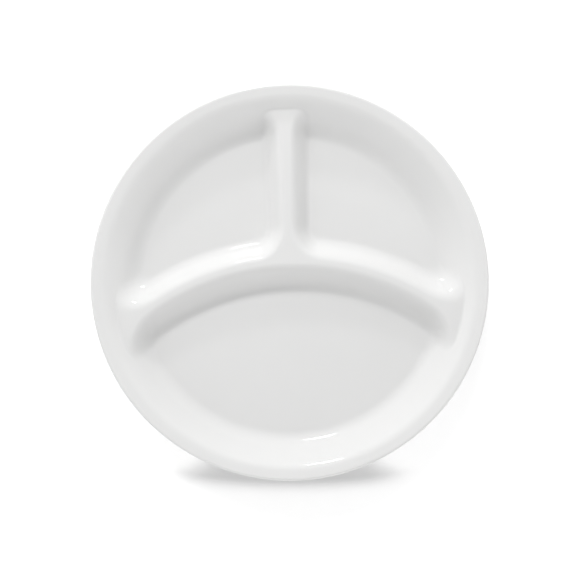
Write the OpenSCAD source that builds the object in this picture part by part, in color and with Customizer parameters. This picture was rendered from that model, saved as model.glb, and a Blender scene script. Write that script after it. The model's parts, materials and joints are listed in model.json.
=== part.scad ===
// Divided dinner plate, pressed from one sheet of white opal glass.
// The origin is the middle of the flat underside, +Z is up, and the straight divider runs along +Y.
// Both faces follow one height formula, and the points of each face lie on rings
// that go from the edge of a compartment's flat floor to the dividers' middle lines and up the bowl.

/* [Plate] */
// Diameter across the rim
plate_d = 260; // [230:1:300]
// Height from the table to the top of the rim
plate_h = 24; // [20:0.5:30]
// Thickness of the glass
glass_t = 2.8; // [2:0.1:3.6]

/* [Bowl] */
// Radius at which the floor and the bowl's wall would meet without a curve
floor_r = 101.3; // [94:0.1:106]
// Width of the flatter lip round the rim
lip_w = 9; // [6:0.5:14]
// Slope of the lip in degrees
lip_slope = 12; // [4:1:20]
// Width of the curve from the wall to the lip
lip_curve_w = 6; // [3:0.5:8]

/* [Dividers] */
// Height of the dividers above the floor
divider_h = 13.5; // [9:0.1:15]
// Radius of the curved divider's middle line
arch_r = 165; // [150:0.5:200]
// Distance from the plate's middle up to the top of the curved divider's middle line
arch_apex = 13.8; // [0:0.2:24]
// Distance from the curved divider's middle line to the foot of its walls
arch_foot = 14.8; // [13:0.1:16]
// Distance from the curved divider's middle line to the top of its walls
arch_top = 3.9; // [3.9:0.1:6]
// Distance from the straight divider's middle line to the foot of its walls, at the curved divider
bar_foot = 11.6; // [10:0.1:14]
// Distance from the straight divider's middle line to the top of its walls, at the curved divider
bar_top = 3.2; // [3:0.1:6]
// Angle in degrees by which each side of the straight divider spreads towards the rim
bar_spread = 1.2; // [0:0.1:3]
// Share of a divider's height that its rounded shoulders take
shoulder_share = 0.28; // [0.1:0.02:0.3]
// Height of the curve that seats a divider's top in the bowl's wall
seat_curve_h = 1.5; // [1:0.5:5]

/* [Corners] */
// Width of the curve at the foot of a wall, as a share of the wall's width
foot_share = 0.68; // [0.5:0.02:0.8]
// Radius of the upper floors' corners at the curved divider, as such a share
arch_corner_share = 1; // [0.4:0.1:1.4]
// Radius of the lower floor's corners, as such a share
lower_corner_share = 0.6; // [0.4:0.1:1.4]
// Radius of the upper floors' corners where the straight divider meets the bowl, as such a share
bar_corner_share = 0.36; // [0.36:0.02:1]

/* [Mesh] */
// Number of steps from a flat floor's edge up to the edge of its compartment
ring_steps = 12; // [8:1:12]
// Number of steps along the straight divider
bar_steps = 14; // [10:1:16]
// Number of steps along each half of the curved divider
arch_steps = 18; // [14:1:20]
// Number of steps round the bowl along an upper compartment
upper_bowl_steps = 24; // [20:1:26]
// Number of steps round the bowl along the lower compartment
lower_bowl_steps = 44; // [36:1:48]
// Number of steps from the compartments up to the rim
wall_steps = 6; // [4:1:7]
// Number of steps round the rim's edge from the upper face to the underside
edge_steps = 4; // [2:1:6]
// How far the points are drawn towards the corners, from 0 for even steps
corner_pull_share = 0.5; // [0:0.1:0.8]

/* [Hidden] */

// The edge of the rim is a half round as deep as half the glass
edge_r = glass_t / 2;
rim_r = plate_d / 2 - edge_r;
knuckle_r = plate_d / 2 - lip_w;
lip_grade = tan(lip_slope);
wall_grade = (plate_h - glass_t - lip_grade * (rim_r - knuckle_r)) / (knuckle_r - floor_r);

// Widths of the walls, each from its foot to its top
bowl_run = divider_h / wall_grade;
arch_run = arch_foot - arch_top;
bar_run = bar_foot - bar_top;
// How far inside its walls' feet a floor is flat, even in its corners, in widths of a wall
corner_max = max(arch_corner_share, lower_corner_share, bar_corner_share);
flat = max(corner_max - (corner_max - foot_share / 2) / sqrt(2), foot_share / 2);
flat_r = floor_r - flat * bowl_run;
arch_half = arch_foot + flat * arch_run;
bar_half = bar_foot + flat * bar_run;
arch_middle = [0, arch_apex - arch_r];
// Half the width of the curved divider's level top
arch_land = arch_top - shoulder_share * arch_run;
// Radius at which the bowl's wall rises past the dividers, which is where the compartments end
seat_r = floor_r + bowl_run;
// Half the distance between the two points that a slope is taken from
probe = glass_t / 50;

// Two straight lines that meet at zero, level and rising, with a curve of width w between them
function bend(x, w) = x <= -w / 2 ? 0 : x >= w / 2 ? x : pow(x + w / 2, 2) / (2 * w);

// Height of the plain bowl above the floor
function bowl(r) = wall_grade * bend(r - floor_r, foot_share * bowl_run)
    - (wall_grade - lip_grade) * bend(r - knuckle_r, lip_curve_w);

// Rise of each wall, which is 0 at its foot, 1 at its top and less than 0 before it
function arch_out(p) = norm(p - arch_middle) - arch_r;
function arch_wall(p) = (arch_foot - abs(arch_out(p))) / arch_run;
function bar_side(p) = max(abs(p.x) - tan(bar_spread) * (p.y - arch_apex), 0);
function bowl_wall(p) = (norm(p) - floor_r) / bowl_run;
// The straight divider ends on the curved one
function bar_share(p) = min(max(arch_out(p) / arch_land, 0), 1);
function bar_wall(p) = ((bar_foot - bar_side(p)) / bar_run + arch_corner_share) * bar_share(p)
    - arch_corner_share;

// The greater of two walls' rises, with a round corner where the walls meet
function rounded(a, b, corner) = min(max(a, b), 0 - corner)
    + norm([max(a + corner, 0), max(b + corner, 0)]);

// Walls together with a curve at the foot, cut off level at the top, and seated in the bowl
function capped(t) = t - bend(t - 1, 2 * shoulder_share);
function land(walls) = divider_h * capped(bend(max(walls), foot_share));
function seated(walls, deep) = deep
    + bend(land(walls) - deep, seat_curve_h * min(bend(walls[0], foot_share), 1));
function joined_walls(arch, bar, bowl, corner) = [
    rounded(arch, bar, arch_corner_share),
    rounded(arch, bowl, corner),
    rounded(bar, bowl, bar_corner_share)
];
function corner_share(p) = arch_out(p) < 0 ? lower_corner_share : arch_corner_share;

// Height of the upper face, and of the underside, which keeps the thickness square to the slope
function upper(p) = glass_t
    + seated(joined_walls(arch_wall(p), bar_wall(p), bowl_wall(p), corner_share(p)), bowl(norm(p)));
function grade(p) = norm([
    upper(p + [probe, 0]) - upper(p - [probe, 0]),
    upper(p + [0, probe]) - upper(p - [0, probe])
]) / (2 * probe);
function under(p) = max(upper(p) - glass_t * norm([1, grade(p)]), 0);

// Shares from 0 to 1 in n steps that are shorter at both ends
function shares(n) = [for (i = [0:n]) i / n - corner_pull_share * sin(360 * i / n) / (2 * PI)];
// Points from p to q, and along a circle round c, with angles taken from +Y
function line(p, q, n) = [for (t = shares(n)) p + (q - p) * t];
function polar(c, r, a) = c + r * [sin(a), cos(a)];
function arc(c, r, from, to, n) = [for (t = shares(n)) polar(c, r, from + (to - from) * t)];

function reversed(a) = [for (i = [len(a) - 1:-1:0]) a[i]];
function mirrored(a) = [for (p = a) [0 - p.x, p.y]];
function tail(a) = [for (i = [1:len(a) - 1]) a[i]];
function inner(a) = [for (i = [1:len(a) - 2]) a[i]];
// One closed loop of paths that each start where the last one ends
function joined(paths) = [for (path = paths) for (i = [0:len(path) - 2]) path[i]];
function places(first, n) = [for (i = [0:n - 1]) first + i];

// Angle about the arch's middle, and about the plate's, where a circle of radius r
// round the plate's middle crosses one of radius a round the arch's middle
function arch_angle(r, a) = acos((r * r - a * a - pow(arch_middle.y, 2)) / (2 * a * arch_middle.y));
function plate_angle(r, a) = let (p = polar(arch_middle, a, arch_angle(r, a))) atan2(p.x, p.y);
// Point where the foot of the straight divider reaches a circle of radius r round c
function bar_reach(c, r) = let (
    start = [bar_half, arch_apex],
    way = [sin(bar_spread), cos(bar_spread)],
    along = (start - c) * way
) start + way * (sqrt(along * along - (start - c) * (start - c) + r * r) - along);

// Lines that bound the compartments, right of the straight divider
bowl_end = plate_angle(seat_r, arch_r);
bar_line = line([0, arch_apex], [0, seat_r], bar_steps);
arch_line = arc(arch_middle, arch_r, 0, arch_angle(seat_r, arch_r), arch_steps);
upper_bowl = arc([0, 0], seat_r, 0, bowl_end, upper_bowl_steps);
lower_bowl = arc([0, 0], seat_r, bowl_end, 360 - bowl_end, lower_bowl_steps);

// Edges of the flat floors, walked clockwise in the same steps as the lines that bound them
upper_arch_r = arch_r + arch_half;
bar_low = bar_reach(arch_middle, upper_arch_r);
bar_high = bar_reach([0, 0], flat_r);
upper_floor = joined([
    line(bar_low, bar_high, bar_steps),
    arc([0, 0], flat_r, atan2(bar_high.x, bar_high.y), plate_angle(flat_r, upper_arch_r), upper_bowl_steps),
    arc(arch_middle, upper_arch_r, arch_angle(flat_r, upper_arch_r),
        atan2(bar_low.x, bar_low.y - arch_middle.y), arch_steps)
]);
lower_arch_r = arch_r - arch_half;
lower_end = plate_angle(flat_r, lower_arch_r);
lower_arch = arc(arch_middle, lower_arch_r, 0, arch_angle(flat_r, lower_arch_r), arch_steps);
lower_floor = joined([
    reversed(mirrored(lower_arch)),
    lower_arch,
    arc([0, 0], flat_r, lower_end, 360 - lower_end, lower_bowl_steps)
]);

// Points of all the bounding lines, each held once, and the places of each line's own points
seams = concat(
    bar_line, tail(arch_line), tail(mirrored(arch_line)),
    inner(upper_bowl), inner(mirrored(upper_bowl)), inner(lower_bowl)
);
right_end = bar_steps + arch_steps;
left_end = right_end + arch_steps;
right_first = left_end + 1;
left_first = right_first + upper_bowl_steps - 1;
lower_first = left_first + upper_bowl_steps - 1;
bar_at = places(0, bar_steps + 1);
right_arch_at = concat([0], places(bar_steps + 1, arch_steps));
left_arch_at = concat([0], places(right_end + 1, arch_steps));
right_bowl_at = concat([bar_steps], places(right_first, upper_bowl_steps - 1), [right_end]);
left_bowl_at = concat([bar_steps], places(left_first, upper_bowl_steps - 1), [left_end]);
lower_bowl_at = concat([right_end], places(lower_first, lower_bowl_steps - 1), [left_end]);

// The edge of each compartment's floor beside the places of its own edge, both clockwise
floors = [upper_floor, reversed(mirrored(upper_floor)), lower_floor];
edges = [
    joined([bar_at, right_bowl_at, reversed(right_arch_at)]),
    reversed(joined([bar_at, left_bowl_at, reversed(left_arch_at)])),
    joined([reversed(left_arch_at), right_arch_at, lower_bowl_at])
];
seat_at = joined([right_bowl_at, lower_bowl_at, reversed(left_bowl_at)]);

// Points of one face: the lines, each compartment's rings and middle, and the rings up to the rim
function middle(a) = [for (axis = [0, 1]) [for (p = a) p[axis]] * [for (p = a) 1] / len(a)];
function floor_rings(c) = concat(
    [for (k = [0:ring_steps - 1]) for (j = [0:len(floors[c]) - 1])
        floors[c][j] + (seams[edges[c][j]] - floors[c][j]) * k / ring_steps],
    [middle(floors[c])]
);
function wall_ring(k) = [for (i = seat_at) seams[i] * (1 + (rim_r / seat_r - 1) * k / wall_steps)];
face_points = concat(
    seams, floor_rings(0), floor_rings(1), floor_rings(2),
    [for (k = [1:wall_steps]) each wall_ring(k)]
);
function ring_size(c) = len(floors[c]);
function first_of(c) = c == 0 ? len(seams) : first_of(c - 1) + ring_size(c - 1) * ring_steps + 1;
rim_size = len(seat_at);
rim_first = len(face_points) - rim_size;
under_first = len(face_points);
edge_first = 2 * len(face_points);

// Triangles between two rings of places, and between a ring and one place in its middle
function strip(a, b) = [
    for (j = [0:len(a) - 1])
        let (i = (j + 1) % len(a))
            each [[a[j], b[j], b[i]], [a[j], b[i], a[i]]]
];
function fan(a, middle_at) = [for (j = [0:len(a) - 1]) [middle_at, a[j], a[(j + 1) % len(a)]]];
function ring_at(c, k) = k == ring_steps ? edges[c] : places(first_of(c) + k * ring_size(c), ring_size(c));
function wall_at(k) = k == 0 ? seat_at : places(first_of(len(floors)) + (k - 1) * rim_size, rim_size);
face = concat(
    [for (c = [0:2]) each fan(ring_at(c, 0), first_of(c + 1) - 1)],
    [for (c = [0:2]) for (k = [1:ring_steps]) each strip(ring_at(c, k - 1), ring_at(c, k))],
    [for (k = [1:wall_steps]) each strip(wall_at(k - 1), wall_at(k))]
);

// Half round of the rim, from the last ring of the upper face to that of the underside
function edge_point(p, a) = let (
    middle_z = (upper(p) + under(p)) / 2,
    half = (upper(p) - under(p)) / 2
) concat(p * (1 + edge_r * cos(a) / rim_r), [middle_z + half * sin(a)]);
function edge_at(k) = k == 0 ? places(rim_first, rim_size)
    : k == edge_steps ? places(under_first + rim_first, rim_size)
    : places(edge_first + (k - 1) * rim_size, rim_size);

module plate() {
    color("white")
        polyhedron(
            points = concat(
                [for (p = face_points) concat(p, [upper(p)])],
                [for (p = face_points) concat(p, [under(p)])],
                [for (k = [1:edge_steps - 1]) for (p = wall_ring(wall_steps))
                    edge_point(p, 90 - 180 * k / edge_steps)]
            ),
            faces = concat(
                face,
                [for (f = face) [for (i = reversed(f)) under_first + i]],
                [for (k = [1:edge_steps]) each strip(edge_at(k - 1), edge_at(k))]
            )
        );
}

plate();
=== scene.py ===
"""A divided dinner plate in white opal glass, seen from above in a plain white studio.

The plate's two faces follow one height formula over its plan. The points of the plan lie on rings,
from the middle of each compartment's floor to the dividers' middle lines and up the bowl to the rim.
"""

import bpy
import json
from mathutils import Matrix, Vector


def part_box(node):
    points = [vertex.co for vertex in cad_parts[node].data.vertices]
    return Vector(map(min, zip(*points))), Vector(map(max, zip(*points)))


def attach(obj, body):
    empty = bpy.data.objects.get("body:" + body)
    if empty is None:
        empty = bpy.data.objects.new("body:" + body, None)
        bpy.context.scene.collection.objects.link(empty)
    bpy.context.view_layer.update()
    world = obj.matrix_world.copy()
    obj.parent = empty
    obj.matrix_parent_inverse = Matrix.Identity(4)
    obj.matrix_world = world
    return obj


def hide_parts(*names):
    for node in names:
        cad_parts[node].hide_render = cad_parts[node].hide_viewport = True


bl_info = {
    "name": "Divided opal glass plate",
    "version": (1, 0, 0),
    "blender": (4, 5, 0),
    "location": "3D View > Sidebar > Plate",
    "description": "Builds a divided dinner plate in opal glass, and a plain studio round it",
    "category": "Object",
}

import json
import math

import bpy
import numpy as np
from mathutils import Vector

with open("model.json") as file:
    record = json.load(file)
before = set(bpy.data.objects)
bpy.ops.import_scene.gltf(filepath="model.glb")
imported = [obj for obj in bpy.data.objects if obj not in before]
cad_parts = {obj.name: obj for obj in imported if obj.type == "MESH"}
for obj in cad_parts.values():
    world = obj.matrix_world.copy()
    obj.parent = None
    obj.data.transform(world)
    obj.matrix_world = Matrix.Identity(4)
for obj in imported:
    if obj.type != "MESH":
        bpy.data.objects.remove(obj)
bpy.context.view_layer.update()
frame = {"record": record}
PLATE_LOW, PLATE_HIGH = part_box("plate")
GLASS_COLOUR = frame["record"]["materials"][0]["base_color"]

MM = 0.001
# Width in metres below which a curve counts as a sharp bend
SHARP = 1e-9
# A slope is taken over two steps, of which the glass's thickness holds this many
SLOPE_STEPS = 50
# The photograph's frame, and the plate's outline in it, in pixels
FRAME_PX = 576
OUTLINE_RADIUS_PX = 199.4
OUTLINE_MIDDLE_PX = (289.7, 281.0)


def length(name, default_mm, description):
    """A length property, whose default is given in millimetres."""
    return bpy.props.FloatProperty(
        name=name, description=description, default=default_mm * MM, min=0, precision=4, unit="LENGTH"
    )


def angle(name, default_degrees, description):
    """An angle property, whose default is given in degrees."""
    return bpy.props.FloatProperty(
        name=name, description=description, default=math.radians(default_degrees), subtype="ANGLE"
    )


def share(name, default, description):
    """A share, where 1 is the whole of what it is taken of."""
    return bpy.props.FloatProperty(
        name=name, description=description, default=default, min=0, max=2, subtype="FACTOR"
    )


def brightness(name, default, description):
    """A brightness, where 1 shows as white."""
    return bpy.props.FloatProperty(
        name=name, description=description, default=default, min=0, max=10, subtype="FACTOR"
    )


def power(name, default, description):
    """A lamp's power in watts."""
    return bpy.props.FloatProperty(
        name=name, description=description, default=default, min=0, unit="POWER"
    )


def focus(name, default, description):
    """How closely light or dark keeps to its direction, as the power at which it falls off."""
    return bpy.props.FloatProperty(name=name, description=description, default=default, min=0)


def steps(name, default, description):
    """A count of mesh steps."""
    return bpy.props.IntProperty(name=name, description=description, default=default, min=1)


class PlateSizes(bpy.types.PropertyGroup):
    """Sizes of the plate"""

    diameter: length("Diameter", (PLATE_HIGH.y - PLATE_LOW.y) / MM, "Across the rim")
    height: length("Height", (PLATE_HIGH.z - PLATE_LOW.z) / MM, "From the table to the top of the rim")
    glass: length("Glass", 2.8, "Thickness of the glass")
    floor_radius: length("Floor radius", 101.3, "Where the floor and the bowl's wall would meet")
    lip_width: length("Lip width", 9, "Width of the flatter lip round the rim")
    lip_slope: angle("Lip slope", 12, "Slope of the lip")
    lip_curve: length("Lip curve", 6, "Width of the curve from the wall to the lip")
    divider_height: length("Divider height", 13.5, "Height of the dividers above the floor")
    arch_radius: length("Arch radius", 165, "Radius of the curved divider's middle line")
    arch_apex: length("Arch apex", 13.8, "From the plate's middle to the top of the curved divider")
    arch_foot: length("Arch foot", 14.8, "From the curved divider's middle line to its walls' foot")
    arch_top: length("Arch top", 3.9, "From the curved divider's middle line to its walls' top")
    bar_foot: length("Bar foot", 11.6, "From the straight divider's middle line to its walls' foot")
    bar_top: length("Bar top", 3.2, "From the straight divider's middle line to its walls' top")
    bar_spread: angle("Bar spread", 1.2, "By which each side of the straight divider spreads")
    foot: share("Foot", 0.68, "Share of a wall's width that the curve at its foot takes")
    shoulder: share("Shoulder", 0.28, "Share of a divider's height that its shoulders take")
    arch_corner: share("Arch corner", 1, "Rounding above the curved divider, in widths of a wall")
    lower_corner: share("Lower corner", 0.6, "Rounding where the bowl meets the curved divider below it")
    bar_corner: share("Bar corner", 0.36, "Rounding where the bowl meets the straight divider")
    seat_curve: length("Seat curve", 1.5, "Height of the curve that seats a divider in the bowl's wall")


class PlateMesh(bpy.types.PropertyGroup):
    """Steps of the plate's mesh"""

    floor: steps("Floor", 6, "From the middle of a floor to its edge")
    ring: steps("Ring", 28, "From a floor's edge to the edge of its compartment")
    bar: steps("Bar", 56, "Along the straight divider")
    arch: steps("Arch", 72, "Along each half of the curved divider")
    upper_bowl: steps("Upper bowl", 96, "Round the bowl along an upper compartment")
    lower_bowl: steps("Lower bowl", 192, "Round the bowl along the lower compartment")
    wall: steps("Wall", 20, "From the compartments up to the rim")
    edge: steps("Edge", 10, "Round the rim's edge from the upper face to the underside")
    corner_pull: share("Corner pull", 0.5, "How far the points are drawn towards the corners")


class PlateFinish(bpy.types.PropertyGroup):
    """Finish of the opal glass"""

    colour: bpy.props.FloatVectorProperty(
        name="Colour", description="Colour of the glass", subtype="COLOR", size=3, default=GLASS_COLOUR[:3]
    )
    polished: share("Polished roughness", 0.06, "Roughness of the fire-polished surface")
    unevenness: share("Unevenness", 0.6, "Share by which that roughness varies over the surface")
    worn: share("Worn roughness", 0.32, "Roughness of the undersides that stand on the table")
    worn_height: share("Worn height", 0.1, "How high that wear reaches, in thicknesses of the glass")
    cloud: share("Cloud", 0.025, "Share by which the colour's faint clouds are darker")
    ripple: length("Ripple", 0.012, "Height of the faint ripples that pressing leaves")
    milk: share("Milkiness", 0.25, "Share of the light that scatters inside the glass")
    depth: length("Light depth", 1.2, "How far light spreads inside the glass")


class Studio(bpy.types.PropertyGroup):
    """Light and camera"""

    ambient: brightness("Ambient", 0.82, "Brightness of the studio near the floor")
    dark_top: share("Dark top", 0.69, "Share of that brightness which is missing overhead")
    dark_focus: focus("Dark focus", 1.7, "How closely the darkness keeps to straight overhead")
    fill: brightness("Fill", 4.3, "Extra brightness low in one direction")
    fill_turn: angle("Fill turn", 157, "Turn of the fill from +Y to the right")
    fill_focus: focus("Fill focus", 22, "How closely the fill keeps to its direction")
    side: brightness("Side", 0.36, "Extra brightness high to one side")
    side_turn: angle("Side turn", -93, "Turn of the bright side from +Y to the right")
    key_power: power("Key power", 16.8, "Power of the wide lamp that shades the dividers")
    key_turn: angle("Key turn", -12, "Turn of that lamp from +Y to the right")
    key_rise: angle("Key rise", 40, "Height of that lamp over the floor, as seen from the plate")
    key_width: length("Key width", 1500, "Width of that lamp")
    key_depth: length("Key depth", 300, "Height of that lamp's face")
    key_reach: length("Key reach", 2000, "Distance from the plate to that lamp")
    strip_power: power("Strip power", 1.2, "Power of the small lamp that glints in the bowl")
    strip_turn: angle("Strip turn", -8, "Turn of the small lamp from +Y to the right")
    strip_rise: angle("Strip rise", 20, "Height of the small lamp over the floor")
    strip_width: length("Strip width", 160, "Width of the small lamp")
    strip_depth: length("Strip depth", 70, "Height of the small lamp's face")
    strip_reach: length("Strip reach", 1000, "Distance from the plate to the small lamp")
    floor_lift: brightness("Floor lift", 0.43, "Brightness that the floor has of its own where it is seen")
    # Painted shade: the shade settings below darken the floor's colour itself, apart from any shadow the
    # lamps cast
    painted_shade: share("Shade", 0.41, "Depth of the soft shade on the floor under the plate's near side")
    shade_down: length("Shade down", 127.9, "From the plate's middle to the shade's darkest line")
    shade_bow: length("Shade bow", 557, "Radius on which that line bends up to both sides")
    shade_width: length("Shade width", 141, "Length of that line")
    shade_fade: length("Shade fade", 6.1, "Distance over which the shade fades away from the plate")
    shade_back: length("Shade back", 60, "Distance over which it fades towards the plate's foot")
    shade_taper: share("Shade taper", 1.66, "How much narrower it grows over that distance")
    # Painted shade: the floor's colour darkened all round close under the plate
    painted_contact_shade: share("Contact", 0.36, "Depth of the shade all round, close under the plate")
    painted_contact_radius: length("Contact radius", 116, "Radius at which that shade fades out")
    roll: angle("Roll", 1.7, "Turn of the plate to the left in the picture")
    tilt: angle("Tilt", 5.6, "By which the camera looks from below the plate's own axis")
    distance: length("Distance", 2000, "From the rim to the camera")


# Shader maths


class Socket:
    """A node's output that adds Math nodes when it is calculated with."""

    def __init__(self, tree, output):
        self.tree = tree
        self.output = output

    def maths(self, operation, first, second):
        return self.tree.node("ShaderNodeMath", {"operation": operation}, {0: first, 1: second})

    def __add__(self, other):
        return self.maths("ADD", self, other)

    def __radd__(self, other):
        return self.maths("ADD", other, self)

    def __sub__(self, other):
        return self.maths("SUBTRACT", self, other)

    def __rsub__(self, other):
        return self.maths("SUBTRACT", other, self)

    def __mul__(self, other):
        return self.maths("MULTIPLY", self, other)

    def __rmul__(self, other):
        return self.maths("MULTIPLY", other, self)

    def __pow__(self, other):
        return self.maths("POWER", self, other)

    def __rpow__(self, other):
        return self.maths("POWER", other, self)

    def from_zero(self):
        return self.maths("MAXIMUM", self, 0.0)


class Tree:
    """The node tree of a material or a world."""

    def __init__(self, owner):
        owner.use_nodes = True
        self.nodes = owner.node_tree.nodes
        self.links = owner.node_tree.links
        self.nodes.clear()

    def node(self, kind, settings=None, inputs=None, output=0):
        """Adds a node, with its settings first and then its sockets' values or links."""
        made = self.nodes.new(kind)
        for name, value in (settings or {}).items():
            setattr(made, name, value)
        for name, value in (inputs or {}).items():
            if isinstance(value, Socket):
                self.links.new(value.output, made.inputs[name])
            else:
                made.inputs[name].default_value = value
        return Socket(self, made.outputs[output]) if made.outputs else None


# Heights of the plate's faces


def bend(x, width):
    """Level before zero and rising after it, with a curve of that width between."""
    half = np.maximum(width, SHARP) / 2
    return np.where(x <= -half, 0, np.where(x >= half, x, (x + half) ** 2 / (4 * half)))


def rounded(one, other, corner):
    """The greater of two walls' rises, with a round corner where the walls meet."""
    inside = np.minimum(np.maximum(one, other), -corner)
    return inside + np.hypot(np.maximum(one + corner, 0), np.maximum(other + corner, 0))


class Faces:
    """Heights of the upper face and the underside over points of the plan."""

    def __init__(self, sizes):
        self.s = sizes
        self.edge_r = sizes.glass / 2
        self.rim_r = sizes.diameter / 2 - self.edge_r
        self.knuckle_r = sizes.diameter / 2 - sizes.lip_width
        self.lip_grade = math.tan(sizes.lip_slope)
        rise = sizes.height - sizes.glass - self.lip_grade * (self.rim_r - self.knuckle_r)
        self.wall_grade = rise / (self.knuckle_r - sizes.floor_radius)
        self.bowl_run = sizes.divider_height / self.wall_grade
        self.seat_r = sizes.floor_radius + self.bowl_run
        self.arch_run = sizes.arch_foot - sizes.arch_top
        self.bar_run = sizes.bar_foot - sizes.bar_top
        # How far inside its walls' feet a floor is flat, even in its corners, in widths of a wall
        corner = max(sizes.arch_corner, sizes.lower_corner, sizes.bar_corner)
        flat = max(corner - (corner - sizes.foot / 2) / math.sqrt(2), sizes.foot / 2)
        self.flat_r = sizes.floor_radius - flat * self.bowl_run
        self.arch_half = sizes.arch_foot + flat * self.arch_run
        self.bar_half = sizes.bar_foot + flat * self.bar_run
        self.arch_middle = np.array([0, sizes.arch_apex - sizes.arch_radius])
        # Half the width of the curved divider's level top
        self.arch_land = sizes.arch_top - sizes.shoulder * self.arch_run

    def bowl(self, p):
        """Height of the plain bowl above the floor."""
        r = np.hypot(p[:, 0], p[:, 1])
        wall = self.wall_grade * bend(r - self.s.floor_radius, self.s.foot * self.bowl_run)
        return wall - (self.wall_grade - self.lip_grade) * bend(r - self.knuckle_r, self.s.lip_curve)

    def walls(self, p):
        """Distance out from the arch's middle line, and the rise of the arch's, bar's and bowl's walls.

        A rise is 0 at the wall's foot, 1 at its top and less than 0 before it. The bar ends on the arch.
        """
        s = self.s
        out = np.hypot(*(p - self.arch_middle).T) - s.arch_radius
        arch = (s.arch_foot - np.abs(out)) / self.arch_run
        spread = math.tan(s.bar_spread) * (p[:, 1] - s.arch_apex)
        bar = (s.bar_foot - np.maximum(np.abs(p[:, 0]) - spread, 0)) / self.bar_run
        bar = (bar + s.arch_corner) * np.clip(out / self.arch_land, 0, 1) - s.arch_corner
        bowl = (np.hypot(p[:, 0], p[:, 1]) - s.floor_radius) / self.bowl_run
        return out, arch, bar, bowl

    def upper(self, p):
        """Height of the upper face: dividers and bowl rounded together, then cut off level."""
        s = self.s
        out, arch, bar, wall = self.walls(p)
        corner = np.where(out < 0, s.lower_corner, s.arch_corner)
        dividers = rounded(arch, bar, s.arch_corner)
        ends = np.maximum(rounded(arch, wall, corner), rounded(bar, wall, s.bar_corner))
        rise = bend(np.maximum(dividers, ends), s.foot)
        land = s.divider_height * (rise - bend(rise - 1, 2 * s.shoulder))
        bowl = self.bowl(p)
        seat = s.seat_curve * np.minimum(bend(dividers, s.foot), 1)
        return s.glass + bowl + bend(land - bowl, seat)

    def under(self, p):
        """Height of the underside, which keeps the glass's thickness square to the slope."""
        probe = self.s.glass / SLOPE_STEPS
        across = self.upper(p + [probe, 0]) - self.upper(p - [probe, 0])
        along = self.upper(p + [0, probe]) - self.upper(p - [0, probe])
        grade = np.hypot(across, along) / (2 * probe)
        return np.maximum(self.upper(p) - self.s.glass * np.hypot(1, grade), 0)


# Plan of the plate's mesh


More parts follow.
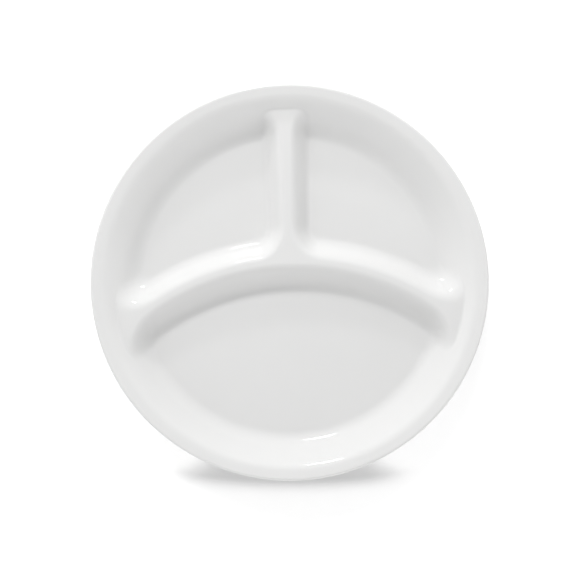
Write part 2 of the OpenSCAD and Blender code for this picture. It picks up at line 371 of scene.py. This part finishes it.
class Plan:
    """Rings of points over the plate's plan, all walked clockwise."""

    def __init__(self, faces, counts):
        self.f = faces
        self.n = counts

    def shares(self, n):
        """Shares from 0 to 1 in n steps that are shorter at both ends."""
        t = np.arange(n + 1) / n
        return t - self.n.corner_pull * np.sin(2 * math.pi * t) / (2 * math.pi)

    def line(self, start, end, n):
        return np.array(start) + np.outer(self.shares(n), np.subtract(end, start))

    def arc(self, middle, r, start, end, n):
        """Points on a circle, with angles taken from +Y."""
        a = start + (end - start) * self.shares(n)
        return np.array(middle) + r * np.stack([np.sin(a), np.cos(a)], axis=1)

    def arch_angle(self, r, arch_r):
        """Angle about the arch's middle where it crosses a circle round the plate's middle."""
        y = self.f.arch_middle[1]
        return math.acos((r * r - arch_r * arch_r - y * y) / (2 * arch_r * y))

    def plate_angle(self, r, arch_r):
        """Angle about the plate's middle of the same crossing."""
        a = self.arch_angle(r, arch_r)
        return math.atan2(arch_r * math.sin(a), self.f.arch_middle[1] + arch_r * math.cos(a))

    def bar_reach(self, middle, r):
        """Point where the straight divider's foot reaches a circle."""
        spread = self.f.s.bar_spread
        start = np.array([self.f.bar_half, self.f.s.arch_apex])
        way = np.array([math.sin(spread), math.cos(spread)])
        off = start - middle
        along = off @ way
        return start + way * (math.sqrt(along * along - off @ off + r * r) - along)

    def edges(self):
        """Edges of the right and the lower compartment, and the circle on which they end."""
        f, n = self.f, self.n
        end = self.plate_angle(f.seat_r, f.s.arch_radius)
        bar = self.line([0, f.s.arch_apex], [0, f.seat_r], n.bar)
        arch = self.arc(
            f.arch_middle, f.s.arch_radius, 0, self.arch_angle(f.seat_r, f.s.arch_radius), n.arch
        )
        upper_bowl = self.arc([0, 0], f.seat_r, 0, end, n.upper_bowl)
        lower_bowl = self.arc([0, 0], f.seat_r, end, 2 * math.pi - end, n.lower_bowl)
        lower_bowl[-1] = mirrored(arch)[-1]
        upper_bowl[-1] = lower_bowl[0] = arch[-1]
        upper_bowl[0] = bar[-1]
        upper = joined(bar, upper_bowl, arch[::-1])
        lower = joined(mirrored(arch)[::-1], arch, lower_bowl)
        seat = joined(upper_bowl, lower_bowl, mirrored(upper_bowl)[::-1])
        return upper, lower, seat

    def floors(self):
        """Edges of the flat floors of the right and the lower compartment."""
        f, n = self.f, self.n
        arch_r = f.s.arch_radius + f.arch_half
        low = self.bar_reach(f.arch_middle, arch_r)
        high = self.bar_reach(np.zeros(2), f.flat_r)
        upper = joined(
            self.line(low, high, n.bar),
            self.arc(
                [0, 0], f.flat_r, math.atan2(*high), self.plate_angle(f.flat_r, arch_r), n.upper_bowl
            ),
            self.arc(
                f.arch_middle, arch_r, self.arch_angle(f.flat_r, arch_r),
                math.atan2(*(low - f.arch_middle)), n.arch
            ),
        )
        arch_r = f.s.arch_radius - f.arch_half
        arch = self.arc(f.arch_middle, arch_r, 0, self.arch_angle(f.flat_r, arch_r), n.arch)
        end = self.plate_angle(f.flat_r, arch_r)
        bowl = self.arc([0, 0], f.flat_r, end, 2 * math.pi - end, n.lower_bowl)
        return upper, joined(mirrored(arch)[::-1], arch, bowl)

    def grids(self):
        """Grids of rings that cover the whole plan, each of shape (rings, points, 2)."""
        upper_edge, lower_edge, seat = self.edges()
        upper_floor, lower_floor = self.floors()
        pairs = (
            (upper_floor, upper_edge),
            (mirrored(upper_floor)[::-1], mirrored(upper_edge)[::-1]),
            (lower_floor, lower_edge),
        )
        made = []
        for floor, edge in pairs:
            middle = np.repeat([floor.mean(axis=0)], len(floor), axis=0)
            made.append(rings(middle, floor, self.n.floor))
            made.append(rings(floor, edge, self.n.ring))
        made.append(rings(seat, seat * self.f.rim_r / self.f.seat_r, self.n.wall))
        return made


def mirrored(path):
    """The path on the other side of the straight divider."""
    return path * [-1, 1]


def joined(*paths):
    """One closed loop of paths that each start where the last one ends."""
    return np.concatenate([path[:-1] for path in paths])


def rings(inner, outer, n):
    """Rings of points from one loop to another, in n even steps."""
    t = np.linspace(0, 1, n + 1)[:, None, None]
    return inner + (outer - inner) * t


def raised(grid, height):
    """The grid's points with a height for each."""
    flat = grid.reshape(-1, 2)
    return np.column_stack([flat, height(flat)]).reshape(*grid.shape[:2], 3)


def rim_round(faces, rim, n):
    """Half round of the rim, from the last ring of the upper face to that of the underside."""
    top = faces.upper(rim)
    low = faces.under(rim)
    made = []
    for k in range(n + 1):
        a = math.pi * (0.5 - k / n)
        flat = rim * (1 + faces.edge_r * math.cos(a) * (0 < k < n) / faces.rim_r)
        z = (top + low) / 2 + (top - low) / 2 * math.sin(a)
        made.append(np.column_stack([flat, top if k == 0 else low if k == n else z]))
    return np.array(made)


def quads(rows, columns, first, turned=False):
    """Faces between neighbouring rings. The upper side shows unless they are turned."""
    k, j = np.meshgrid(np.arange(rows - 1), np.arange(columns), indexing="ij")
    here = first + k * columns + j
    beside = first + k * columns + (j + 1) % columns
    corners = [here, beside, beside + columns, here + columns]
    if turned:
        corners.reverse()
    return np.stack(corners, axis=-1).reshape(-1, 4)


def welded(points, faces):
    """The mesh with points that lie in one place joined, and faces without doubled corners."""
    grain = 1e-8
    _, kept, place = np.unique(
        np.round(points / grain).astype(np.int64), axis=0, return_index=True, return_inverse=True
    )
    clean = []
    for face in place.reshape(-1)[faces].tolist():
        corners = [c for c, before in zip(face, face[-1:] + face[:-1]) if c != before]
        if len(corners) > 2:
            clean.append(corners)
    return points[kept], clean


def plate_mesh(sizes, counts):
    """The plate's closed mesh: upper face, underside and the rim's half round."""
    faces = Faces(sizes)
    grids = Plan(faces, counts).grids()
    sheets = [(raised(g, faces.upper), False) for g in grids]
    sheets += [(raised(g, faces.under), True) for g in grids]
    sheets.append((rim_round(faces, grids[-1][-1], counts.edge), False))
    points, corners, first = [], [], 0
    for grid, turned in sheets:
        points.append(grid.reshape(-1, 3))
        corners.append(quads(*grid.shape[:2], first, turned))
        first += len(points[-1])
    points, corners = welded(np.concatenate(points), np.concatenate(corners))
    mesh = bpy.data.meshes.new("plate_glass")
    mesh.from_pydata(points.tolist(), [], corners)
    mesh.polygons.foreach_set("use_smooth", [True] * len(mesh.polygons))
    mesh.validate()
    return mesh


# Materials

# Spots in a metre of each noise of the glass
CLOUDS = 22.0
RIPPLES = 34.0
SCUFFS = 900.0


def opal_glass(finish, glass):
    """White opal glass, fire-polished, with faint ripples and dull wear where it stands."""
    material = bpy.data.materials.new("opal_glass")
    tree = Tree(material)
    place = tree.node("ShaderNodeTexCoord", output="Object")

    def noise(scale, detail):
        return tree.node(
            "ShaderNodeTexNoise", {"noise_dimensions": "3D"},
            {"Vector": place, "Scale": scale, "Detail": detail, "Roughness": 0.5},
        )

    cloud = noise(CLOUDS, 2.0)
    ripple = noise(RIPPLES, 1.0)
    grain = noise(SCUFFS, 2.0)
    height = tree.node("ShaderNodeSeparateXYZ", inputs={"Vector": place}, output="Z")
    worn = tree.node(
        "ShaderNodeMapRange", {"interpolation_type": "SMOOTHSTEP"},
        {
            "Value": height,
            "From Min": 0.0,
            "From Max": glass * finish.worn_height,
            "To Min": 1.0,
            "To Max": 0.0,
        },
    )
    scuffed = worn * (0.5 + 0.5 * grain)
    polished = finish.polished * (1 - finish.unevenness / 2 + finish.unevenness * cloud)
    white = tuple(finish.colour)
    clouded = tuple(c * (1 - finish.cloud) for c in white)
    colour = tree.node(
        "ShaderNodeMix", {"data_type": "RGBA"},
        {"Factor": cloud, 6: (*white, 1), 7: (*clouded, 1)}, output=2,
    )
    bump = tree.node(
        "ShaderNodeBump",
        inputs={"Height": ripple, "Strength": 1.0, "Distance": finish.ripple},
    )
    shader = tree.node(
        "ShaderNodeBsdfPrincipled", {"subsurface_method": "RANDOM_WALK"},
        {
            "Base Color": colour,
            "Roughness": polished + (finish.worn - finish.polished) * scuffed,
            "IOR": 1.5,
            "Subsurface Weight": finish.milk,
            "Subsurface Radius": (1.0, 1.0, 1.0),
            "Subsurface Scale": finish.depth,
            "Normal": bump,
        },
    )
    tree.node("ShaderNodeOutputMaterial", inputs={"Surface": shader})
    return material


def seen_directly(tree):
    """1 for rays that show the background: from the camera, a gloss or through glass."""
    path = "ShaderNodeLightPath"
    camera = tree.node(path, output="Is Camera Ray")
    glossy = tree.node(path, output="Is Glossy Ray")
    through = tree.node(path, output="Is Transmission Ray")
    return camera + glossy + through


def white_floor(studio):
    """Matt floor, lifted to white where it is seen, with shade painted beside and under the plate."""
    material = bpy.data.materials.new("studio_floor")
    tree = Tree(material)
    place = tree.node("ShaderNodeTexCoord", output="Object")
    x = tree.node("ShaderNodeSeparateXYZ", inputs={"Vector": place}, output="X")
    y = tree.node("ShaderNodeSeparateXYZ", inputs={"Vector": place}, output="Y")
    right = math.cos(studio.roll) * x - math.sin(studio.roll) * y
    up = math.sin(studio.roll) * x + math.cos(studio.roll) * y + studio.shade_down
    up -= right * right * (0.5 / studio.shade_bow)
    below = (-1 * up).from_zero() * (1 / studio.shade_fade)
    behind = up.from_zero() * (1 / studio.shade_back)
    across = right * (1 + studio.shade_taper * behind) * (2 / studio.shade_width)
    # A high power keeps both painted shades even almost up to where they end
    even = 4
    far = (across * across) ** even + below * below + behind * behind
    out = (x * x + y * y) * (1 / studio.painted_contact_radius ** 2)
    # Painted shade: a soft dark patch in the floor's colour, off the plate's near side
    painted_shade_tone = 1 - studio.painted_shade * math.e ** (-1 * far)
    # Painted shade: the floor's colour darkened all round close under the plate, fading out at a radius
    painted_shade_tone *= 1 - studio.painted_contact_shade * math.e ** (-1 * out ** even)
    shader = tree.node(
        "ShaderNodeBsdfPrincipled",
        inputs={
            "Base Color": painted_shade_tone,
            "Roughness": 1.0,
            "Specular IOR Level": 0.0,
            "Emission Color": painted_shade_tone * seen_directly(tree),
            "Emission Strength": studio.floor_lift,
        },
    )
    tree.node("ShaderNodeOutputMaterial", inputs={"Surface": shader})
    return material


def toward(turn, rise=0):
    """Unit vector that is turned from +Y to the right and raised by two angles."""
    flat = math.cos(rise)
    return Vector((math.sin(turn) * flat, math.cos(turn) * flat, math.sin(rise)))


def studio_world(studio):
    """Soft light from all round, less from overhead, and plain white where it is seen."""
    world = bpy.data.worlds.new("studio")
    tree = Tree(world)
    way = tree.node("ShaderNodeTexCoord", output="Generated")
    height = tree.node("ShaderNodeSeparateXYZ", inputs={"Vector": way}, output="Z").from_zero()

    def facing(turn):
        return tree.node(
            "ShaderNodeVectorMath", {"operation": "DOT_PRODUCT"}, {0: way, 1: toward(turn)},
            output="Value",
        ).from_zero()

    light = studio.ambient * (1 - studio.dark_top * height ** studio.dark_focus)
    light += studio.fill * facing(studio.fill_turn) ** studio.fill_focus
    light += studio.side * facing(studio.side_turn) * height
    seen = seen_directly(tree)
    strength = light + seen * (1 - light)
    background = tree.node("ShaderNodeBackground", inputs={"Color": (1, 1, 1, 1), "Strength": strength})
    tree.node("ShaderNodeOutputWorld", inputs={"Surface": background})
    return world


# Operators


class PLATE_OT_glass(bpy.types.Operator):
    """Build the plate in place of its plain solid"""

    bl_idname = "plate.glass"
    bl_label = "Build the plate"

    def execute(self, context):
        scene = context.scene
        piece = bpy.data.objects.new("plate_glass", plate_mesh(scene.plate_sizes, scene.plate_mesh))
        scene.collection.objects.link(piece)
        piece.data.materials.append(opal_glass(scene.plate_finish, scene.plate_sizes.glass))
        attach(piece, "root")
        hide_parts("plate")
        return {"FINISHED"}


class PLATE_OT_studio(bpy.types.Operator):
    """Build the floor, the light and the camera"""

    bl_idname = "plate.studio"
    bl_label = "Build the studio"

    def execute(self, context):
        scene = context.scene
        studio = scene.plate_studio
        self.floor(scene, studio)
        scene.world = studio_world(studio)
        self.lamp(scene, studio, "key").visible_glossy = False
        self.lamp(scene, studio, "strip")
        self.camera(scene, studio)
        scene.view_settings.view_transform = "Standard"
        return {"FINISHED"}

    def floor(self, scene, studio):
        """A square floor, a little below the plate so that the two don't share a plane."""
        half = 4.0
        gap = 0.0002
        mesh = bpy.data.meshes.new("floor")
        corners = [(-half, -half, -gap), (half, -half, -gap), (half, half, -gap), (-half, half, -gap)]
        mesh.from_pydata(corners, [], [(0, 1, 2, 3)])
        floor = bpy.data.objects.new("floor", mesh)
        floor.data.materials.append(white_floor(studio))
        scene.collection.objects.link(floor)

    def lamp(self, scene, studio, name):
        """An area lamp that faces the plate, out of the camera's sight."""
        watts, turn, rise, width, depth, reach = (
            getattr(studio, name + "_" + part)
            for part in ("power", "turn", "rise", "width", "depth", "reach")
        )
        data = bpy.data.lights.new(name, "AREA")
        data.shape = "RECTANGLE"
        data.size = width
        data.size_y = depth
        data.energy = watts
        lamp = bpy.data.objects.new(name, data)
        lamp.location = reach * toward(turn, rise)
        lamp.rotation_euler = lamp.location.to_track_quat("Z", "Y").to_euler()
        lamp.visible_camera = False
        scene.collection.objects.link(lamp)
        return lamp

    def camera(self, scene, studio):
        """Looks almost straight down, with the rim as large and as far off the middle as photographed."""
        data = bpy.data.cameras.new("camera")
        camera = bpy.data.objects.new("camera", data)
        px = scene.plate_sizes.diameter / 2 / OUTLINE_RADIUS_PX
        data.sensor_width = 36
        data.lens = data.sensor_width * studio.distance / (FRAME_PX * px)
        right = (FRAME_PX / 2 - OUTLINE_MIDDLE_PX[0]) * px
        up = (OUTLINE_MIDDLE_PX[1] - FRAME_PX / 2) * px
        camera.rotation_euler = (studio.tilt, 0, -studio.roll)
        offset = Vector((right, up, studio.distance))
        offset.rotate(camera.rotation_euler)
        camera.location = Vector((0, 0, scene.plate_sizes.height)) + offset
        data.clip_end = 10
        scene.collection.objects.link(camera)
        scene.camera = camera


class PLATE_PT_panel(bpy.types.Panel):
    """Sizes, finish and studio of the plate"""

    bl_idname = "PLATE_PT_panel"
    bl_label = "Divided plate"
    bl_space_type = "VIEW_3D"
    bl_region_type = "UI"
    bl_category = "Plate"

    def draw(self, context):
        layout = self.layout
        for operator in OPERATORS:
            layout.operator(operator.bl_idname)
        for name in GROUPS:
            box = layout.box()
            group = getattr(context.scene, name)
            for prop in group.bl_rna.properties:
                if prop.identifier not in ("rna_type", "name"):
                    box.prop(group, prop.identifier)


GROUPS = {
    "plate_sizes": PlateSizes,
    "plate_mesh": PlateMesh,
    "plate_finish": PlateFinish,
    "plate_studio": Studio,
}
OPERATORS = (PLATE_OT_glass, PLATE_OT_studio)


def register():
    """Adds the classes, and a group of properties of each kind to every scene."""
    for cls in (*GROUPS.values(), *OPERATORS, PLATE_PT_panel):
        bpy.utils.register_class(cls)
    for name, group in GROUPS.items():
        setattr(bpy.types.Scene, name, bpy.props.PointerProperty(type=group))


def unregister():
    """Takes away what register added."""
    for name in GROUPS:
        delattr(bpy.types.Scene, name)
    for cls in (PLATE_PT_panel, *OPERATORS, *reversed(GROUPS.values())):
        bpy.utils.unregister_class(cls)


def main():
    """Builds all of it."""
    register()
    bpy.ops.plate.glass()
    bpy.ops.plate.studio()


if __name__ == "__main__":
    main()
